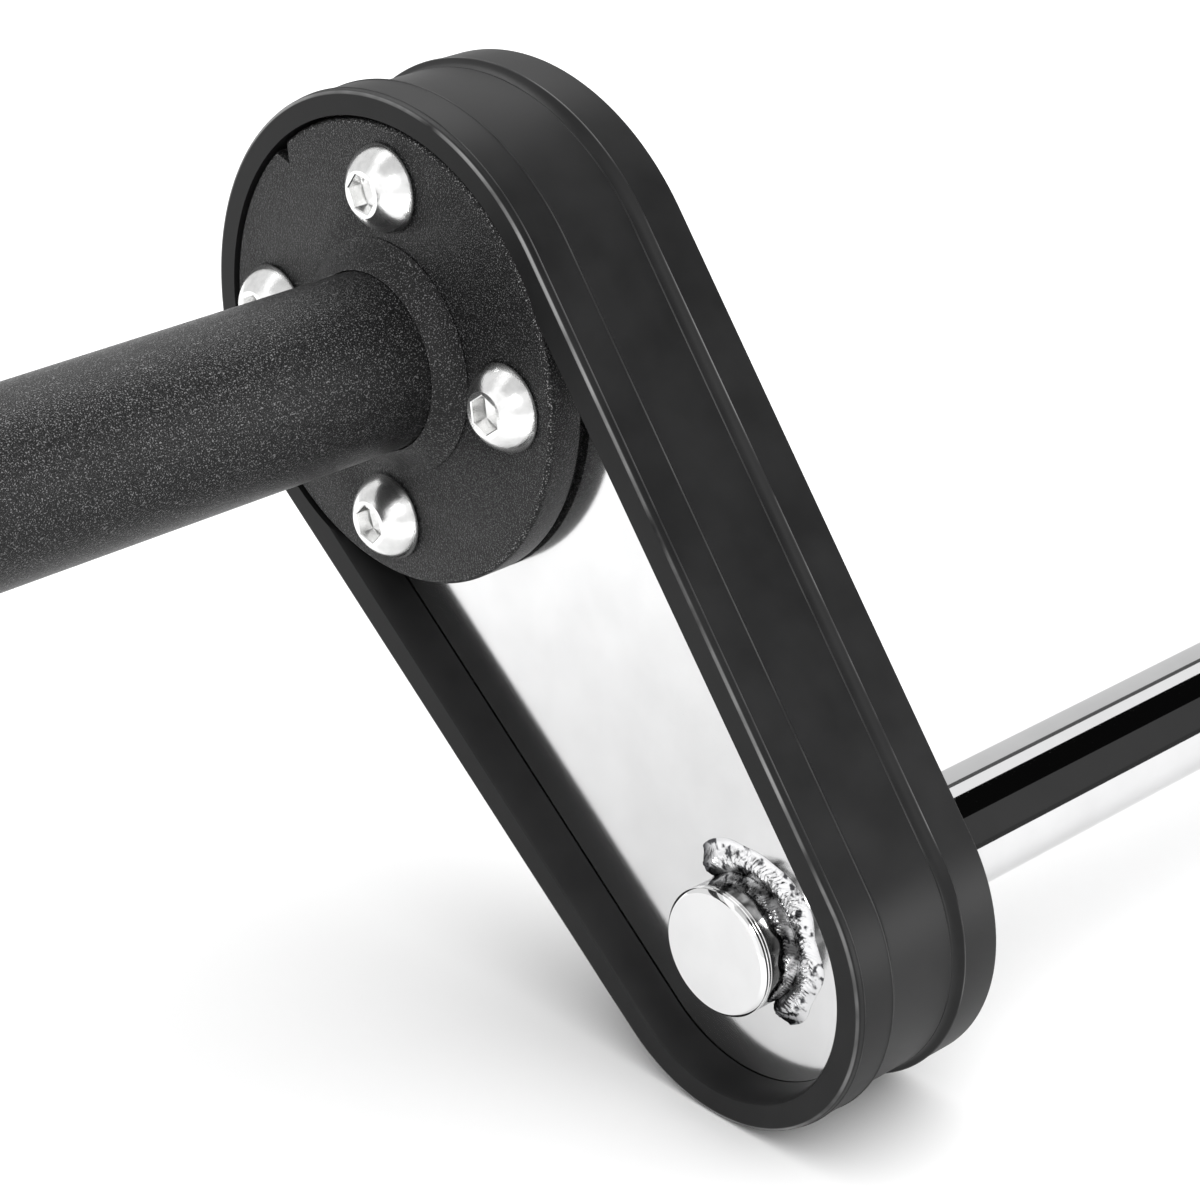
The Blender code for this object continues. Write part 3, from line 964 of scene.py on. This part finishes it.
@dataclass
class GripEnd:
    """The turned spigot at one end of the grip, with its weld bead."""

    chamfer: float = 0.8 * MM
    tail_gap: float = 3.3 * MM
    grooves: tuple[float, ...] = (1.6 * MM, 2.5 * MM)
    groove: float = 0.16 * MM
    bead_reach: float = 7 * MM
    bead_climb: float = 1.7 * MM
    bead_start: float = math.radians(45)
    bead_end: float = math.radians(235)
    bead_rows: int = 26
    ripples: int = 56
    ripple_height: float = 0.30 * MM
    bead_gap: float = 0.03 * MM
    burnt_start: float = 0.06
    burnt_stop: float = 0.07
    steps: int = 144

    def build(self, end: End) -> list[Piece]:
        """Build one end's spigot and bead."""
        self.end = end
        self.grip = Extent.of("grip_bar")
        self.spigot = Extent.of("left_grip_spigot")
        self.plate = Extent.of("left_arm_plate")
        return [self._spigot(), self._bead()]

    def _spigot(self) -> Piece:
        """The spigot with a chamfered end and two fine turned grooves."""
        head = self.spigot.radius
        tip = self.spigot.low.x
        tail = self.grip.radius - self.tail_gap
        profile = [(tip, head - self.chamfer - 0.1 * MM), (tip + 0.06 * MM, head - self.chamfer)]
        profile += [(tip + self.chamfer, head - 0.06 * MM), (tip + self.chamfer + 0.12 * MM, head)]
        for groove_at in self.grooves:
            at = tip + groove_at
            profile += [(at - self.groove, head), (at, head - self.groove), (at + self.groove, head)]
        profile += [(self.plate.high.x, head), (self.plate.high.x, tail), (self.spigot.high.x, tail)]
        shape = Shape(self.end)
        rings = shape.turn(profile, self.grip.centre, self.steps)
        # A painted dark reflection on the spigot's side, from its last groove back to the plate.
        for vertex in rings[-4] + rings[-3]:
            vertex[shape.painted_light_and_burn] = 1.0
        node = f"{self.end.value}_grip_spigot"
        return Piece(shape.object(f"{node}_chromed", 25), node, Slot.CHROME)

    def _bead(self) -> Piece:
        """The rippled weld bead, thicker where it starts and stops."""
        inner = self.spigot.radius + self.bead_gap
        base = self.plate.low.x - self.bead_gap
        lengthwise = 10 * self.ripples
        rings = []
        shape = Shape(self.end)
        for i in range(lengthwise + 1):
            share = i / lengthwise
            angle = self.bead_start + (self.bead_end - self.bead_start) * share
            burnt = max(0.0, 1.4 - share / self.burnt_start, 1.4 - (1 - share) / self.burnt_stop)
            rings.append(shape.ring([on_circle(base - climb, inner + out, angle, self.grip.centre)
                                     for climb, out in self._bead_section(share, angle)], min(1.0, burnt)))
        shape.bridge(rings)
        shape.cap(rings[0])
        shape.cap(rings[-1])
        node = f"{self.end.value}_spigot_weld"
        return Piece(shape.object(f"{node}_plated", 60), node, Slot.WELD)

    def _bead_section(self, share: float, angle: float) -> list[tuple[float, float]]:
        """The bead's section at one place along it.

        Args:
            share: how far along the bead, from 0 to 1.
            angle: its angle about the grip.

        Returns:
            A closed section of (climb above the plate, distance out from the spigot) rows.
        """
        here = Vector((math.cos(angle), math.sin(angle), 0.0))
        wide = self.bead_reach * (1 + 0.30 * noise.noise(here * 2.5 + Vector((0, 0, 7))))
        blob = math.exp(-((share / 0.05) ** 2)) + math.exp(-(((1 - share) / 0.06) ** 2))
        taper = min(1.0, 0.25 + share / 0.02, 0.25 + (1 - share) / 0.02)
        tall = self.bead_climb * taper * (0.80 + 0.35 * noise.noise(here * 4) + 1.10 * blob)
        rows = [(0.0, 0.0)]
        for j in range(self.bead_rows + 1):
            across = j / self.bead_rows
            crown = 1.25 * math.sin(math.pi * across) * (1 - across ** 2)
            chevron = 1 - abs(2 * across - 1)
            phase = (share * self.ripples + 2.2 * chevron + 0.8 * noise.noise(here * 9)) % 1.0
            ripple = (1 - phase) ** 2 * self.ripple_height
            lump = 1.6 * self.ripple_height * noise.noise(here * 9 + Vector((0, 0, 3 * across)))
            climb = tall * (0.30 * (1 - across) + 0.62 * crown) + crown * (ripple + lump)
            rows.append((max(0.0, climb), wide * taper * across + 0.02 * MM))
        return rows

    @staticmethod
    def dress(pieces: Sequence[Piece]) -> None:
        """Chrome the spigot and plate the bead."""
        for piece in pieces:
            # The spigot's chrome carries a painted dark reflection on its side.
            chrome = Chrome(colour=(0.88, 0.88, 0.882), roughness=0.04, painted_dark_reflection=(0.10, 0.10, 0.10))
            piece.dress(chrome if piece.slot is Slot.CHROME else Bead())


@dataclass
class Grip:
    """The chromed grip tube."""

    wall: float = 3 * MM
    edge: float = 0.3 * MM
    steps: int = 192

    def build(self) -> list[Piece]:
        """Build the grip."""
        box = Extent.of("grip_bar")
        outside, low, high = box.radius, box.low.x, box.high.x
        inside = outside - self.wall
        profile = [(low, inside), (low, outside - self.edge), (low + self.edge, outside)]
        profile += [(high - self.edge, outside), (high, outside - self.edge), (high, inside)]
        shape = Shape()
        shape.turn(profile, box.centre, self.steps, True)
        return [Piece(shape.object("grip_bar_chromed", 30), "grip_bar", Slot.CHROME)]

    @staticmethod
    def dress(pieces: Sequence[Piece]) -> None:
        """Chrome the grip."""
        for piece in pieces:
            piece.dress(Chrome(roughness=0.03, satin=0.02))


# ---------------------------------------------------------------- studio

@dataclass(frozen=True)
class Card:
    """A studio card curved round the bar, seen only in reflections.

    It runs from a start to an end angle about the bar, in degrees, and has another level beside the left arm.
    """

    name: str
    start: float
    end: float
    level: float
    left_level: float


@dataclass
class Studio:
    """Floor, camera, lights and the cards that polished metal reflects."""

    pieces: Sequence[Piece]
    floor_size: float = 30.0
    spot: tuple[float, float, float] = (-0.29842, -0.57906, 0.31409)
    right: tuple[float, float, float] = (0.72386, -0.68988, 0.00971)
    up: tuple[float, float, float] = (0.30132, 0.32877, 0.89505)
    lens: float = 106.25
    card_radius: float = 2.4
    paper_front: float = -0.376
    card_split: float = 0.35
    card_low: float = -2.2
    card_high: float = 5.0
    apron_level: float = 0.05
    end_levels: tuple[float, float] = (1.15, 0.5)
    sun_strength: float = 2.7
    sun_spread: float = math.radians(100)
    sun_turn: tuple[float, float, float] = (math.radians(12), math.radians(10), 0.0)
    cards: ClassVar[tuple[Card, ...]] = (
        Card("front_wall_card", -4, 53, 0.07, 0.95),
        Card("black_ceiling_card", 53, 97, 0.004, 0.70),
        Card("overhead_strip_card", 97, 120, 1.20, 1.20),
        Card("gap_card", 120, 129, 0.12, 0.80),
        Card("back_wall_card", 129, 184, 0.80, 0.80),
    )

    def build(self) -> None:
        """Build the whole studio."""
        self._camera()
        self._floor()
        self._cards()
        self._lights()

    def _camera(self) -> None:
        """Set the camera on its stand."""
        camera = bpy.data.objects.new("camera", bpy.data.cameras.new("camera"))
        camera.data.lens = self.lens
        camera.data.sensor_width = 36.0
        camera.data.clip_start = 0.01
        right = Vector(self.right).normalized()
        back = right.cross(Vector(self.up)).normalized()
        up = back.cross(right)
        turn = Matrix((right, up, back)).transposed()
        camera.matrix_world = Matrix.Translation(Vector(self.spot)) @ turn.to_4x4()
        bpy.context.scene.collection.objects.link(camera)
        bpy.context.scene.camera = camera

    def _sheet(self, name: str, rows: Sequence[tuple[float, float]], finish: Finish, low: float,
               high: float) -> bpy.types.Object:
        """A sheet that runs along X through rows of (y, z) points."""
        shape = Shape()
        rings = [shape.ring([Vector((low, y, z)), Vector((high, y, z))]) for y, z in rows]
        shape.bridge(rings, around=False)
        sheet = shape.object(name)
        sheet.data.materials.append(finish.material(name))
        sheet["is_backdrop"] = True
        return sheet

    def _floor(self) -> None:
        """The pale floor under the arms' small ends."""
        self.ground = Vector(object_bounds()[0]).z
        half = self.floor_size / 2
        self._sheet("floor", [(-half, self.ground), (half, self.ground)], Paper(), -half, half)

    def _reflected_only(self, card: bpy.types.Object) -> None:
        """Hide a card from everything but reflections."""
        card.visible_camera = False
        card.visible_diffuse = False
        card.visible_shadow = False
        card.visible_transmission = False
        card.visible_volume_scatter = False

    def _cards(self) -> None:
        """Cards all round the bar, a dark one on the floor in front and one across each end."""
        centre = Extent.of("grip_bar").centre
        low, high = self.card_low, self.card_high
        for card in self.cards:
            steps = max(2, round((card.end - card.start) / 3))
            rows = []
            for i in range(steps + 1):
                angle = math.radians(180 - card.start - (card.end - card.start) * i / steps)
                spot = on_circle(0.0, self.card_radius, angle, centre)
                rows.append((spot.y, spot.z))
            self._reflected_only(self._sheet(card.name, rows, Glow(card.level), self.card_split, high))
            left = self._sheet(f"{card.name}_left", rows, Glow(card.left_level), low, self.card_split)
            self._reflected_only(left)
        front = centre.y - self.card_radius
        over = self.ground + MM
        apron = self._sheet("floor_apron_card", [(self.paper_front, over), (front, over)],
                            Glow(self.apron_level), self.card_split, high)
        self._reflected_only(apron)
        for name, station, level in zip(("left_end_card", "right_end_card"), (low, high), self.end_levels):
            self._reflected_only(self._wall(name, station, centre, level))

    def _wall(self, name: str, station: float, centre: Vector, level: float) -> bpy.types.Object:
        """An upright card across the end of the cards."""
        reach = self.card_radius
        shape = Shape()
        corners = [(-reach, -reach), (reach, -reach), (reach, reach), (-reach, reach)]
        shape.cap(shape.ring([Vector((station, centre.y + y, centre.z + z)) for y, z in corners]))
        wall = shape.object(name)
        wall.data.materials.append(Glow(level).material(name))
        wall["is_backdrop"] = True
        return wall

    def _lights(self) -> None:
        """A white room, a broad top light for the paper and four soft lights for the bar itself."""
        world = bpy.data.worlds.new("white_room")
        world.use_nodes = True
        world.node_tree.nodes["Background"].inputs["Color"].default_value = (1.0, 1.0, 1.0, 1.0)
        world.node_tree.nodes["Background"].inputs["Strength"].default_value = 1.0
        world.cycles.sampling_method = "NONE"
        bpy.context.scene.world = world
        bpy.context.scene.view_settings.view_transform = "Standard"
        self._sun("top_light")
        arm = Extent.of("left_arm_plate").centre
        tube = Extent.of("left_tube").centre
        black = {Slot.POWDER, Slot.RUBBER}
        self._softbox("camera_light", Vector((-0.42, -0.70, 0.55)), (0.28, 0.28), 3.2, arm, set(Slot))
        self._softbox("tube_light", Vector((0.60, -0.80, 0.28)), (0.70, 0.16), 6.0, tube, {Slot.POWDER})
        grip_end = Extent.of("left_grip_spigot").centre
        self._softbox("arm_light", Vector((0.62, -0.62, -0.10)), (0.40, 0.30), 3.0, grip_end, {Slot.RUBBER})
        self._softbox("rim_light", Vector((0.50, 0.55, 0.75)), (0.90, 0.30), 4.5, tube, black)

    def _sun(self, name: str) -> None:
        """A broad light from far away that polished metal doesn't reflect."""
        data = bpy.data.lights.new(name, "SUN")
        data.energy = self.sun_strength
        data.angle = self.sun_spread
        light = bpy.data.objects.new(name, data)
        light.rotation_euler = self.sun_turn
        light.visible_glossy = False
        bpy.context.scene.collection.objects.link(light)

    def _softbox(self, name: str, spot: Vector, size: tuple[float, float], energy: float, target: Vector,
                 slots: set[Slot]) -> None:
        """An oval soft light that only some pieces receive.

        Args:
            name: its name.
            spot: where it stands.
            size: its width and height.
            energy: its power in watts.
            target: what it is aimed at.
            slots: the material slots of the pieces that it lights.
        """
        data = bpy.data.lights.new(name, "AREA")
        data.energy = energy
        data.shape = "ELLIPSE"
        data.size, data.size_y = size
        light = bpy.data.objects.new(name, data)
        light.location = spot
        light.rotation_euler = (target - spot).to_track_quat("-Z", "Y").to_euler()
        lit = bpy.data.collections.new(f"{name}_pieces")
        for piece in self.pieces:
            if piece.slot in slots:
                lit.objects.link(piece.thing)
        light.light_linking.receiver_collection = lit
        bpy.context.scene.collection.objects.link(light)


def main() -> None:
    """Build and dress every piece, then the studio."""
    logging.basicConfig(level=logging.INFO, format="%(message)s")
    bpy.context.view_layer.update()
    grip = Grip()
    everything = grip.build()
    grip.dress(everything)
    for end in End:
        for assembly in (FlangedTube(), FlangeScrews(), TeardropArm(), GripEnd()):
            pieces = assembly.build(end)
            assembly.dress(pieces)
            everything += pieces
    Studio(everything).build()


if __name__ == "__main__":
    main()
